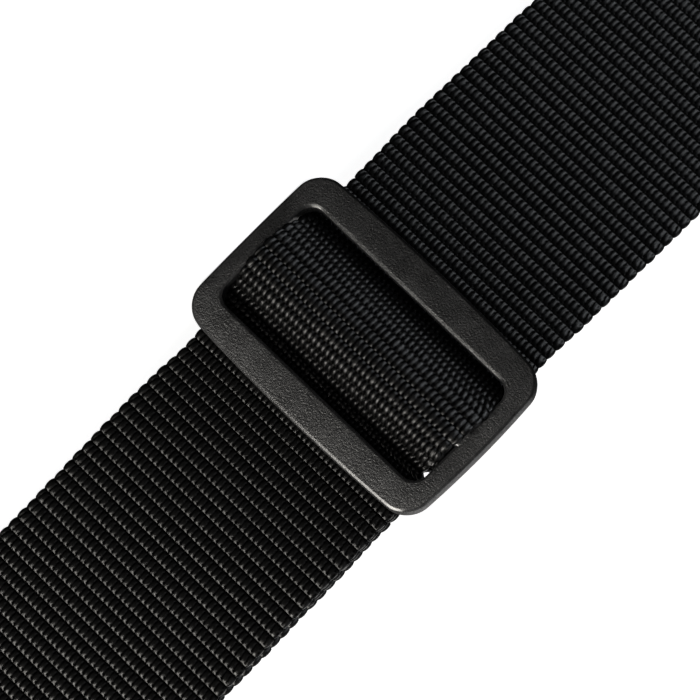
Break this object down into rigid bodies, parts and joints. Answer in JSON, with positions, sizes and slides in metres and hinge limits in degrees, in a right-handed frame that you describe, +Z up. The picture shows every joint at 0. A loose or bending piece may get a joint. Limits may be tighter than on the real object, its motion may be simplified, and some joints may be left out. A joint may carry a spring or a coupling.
{
  "type": "guitar strap",
  "caption": "Adjustable guitar strap of ribbed black webbing with a tri-glide slide adjuster, a loop ring and leather button tabs.",
  "frame": {"origin": "on the ground under the middle of the slide adjuster, at the flat on the lower end of its frame", "axes": "+Z up, across the webbing; +X along the middle of the strap, from the single arm to the doubled arm with the ring; the adjuster faces -Y and both arms run back towards +Y"},
  "size_m": [0.4004, 0.3867, 0.0588],
  "materials": {
    "webbing": "black ribbed polypropylene webbing, dull sheen on the rib tops",
    "adjuster_plastic": "moulded, fine grain",
    "ring_plastic": "moulded, fine grain",
    "leather": "pebbled, waxed edge",
    "leather_backing": "suede side",
    "thread": "bonded polyester"
  },
  "bodies": {
    "strap_body": {"main_webbing": "webbing", "return_webbing": "webbing", "bar_loop_stitching": "thread"},
    "adjuster": {"adjuster_frame": "adjuster_plastic"},
    "front_end": {"front_webbing": "webbing", "front_tab_leather": "leather", "front_tab_backing": "leather_backing", "front_tab_stitching": "thread", "front_tab_back_stitching": "thread"},
    "ring_wrap": {"ring_wrap_webbing": "webbing"},
    "ring": {"loop_ring": "ring_plastic"},
    "rear_tab": {"rear_tab_webbing": "webbing", "rear_tab_leather": "leather", "rear_tab_backing": "leather_backing", "rear_tab_stitching": "thread", "rear_tab_back_stitching": "thread"}
  },
  "joints": [
    {"name": "length_adjust", "type": "slide", "parent": "strap_body", "child": "front_end", "axis": [0.1045, 0.9945, 0], "range_m": [-0.04, 0.075]},
    {"name": "ring_follow", "type": "slide", "parent": "strap_body", "child": "ring_wrap", "axis": [0, 1, 0], "range_m": [-0.0375, 0.02]},
    {"name": "adjuster_tilt", "type": "hinge", "parent": "strap_body", "child": "adjuster", "pos_m": [0, -0.0002, 0.0294], "axis": [0, 0, 1], "range_deg": [-4, 4]},
    {"name": "ring_swing", "type": "hinge", "parent": "ring_wrap", "child": "ring", "pos_m": [0.19704, 0.22833, 0.0294], "axis": [0, 0, 1], "range_deg": [-70, 70]},
    {"name": "rear_tab_swing", "type": "hinge", "parent": "ring", "child": "rear_tab", "pos_m": [0.19704, 0.24333, 0.0294], "axis": [0, 0, 1], "range_deg": [-80, 80]}
  ],
  "couplings": [
    {"joint": "ring_follow", "follows": "length_adjust", "ratio": -0.5}
  ]
}
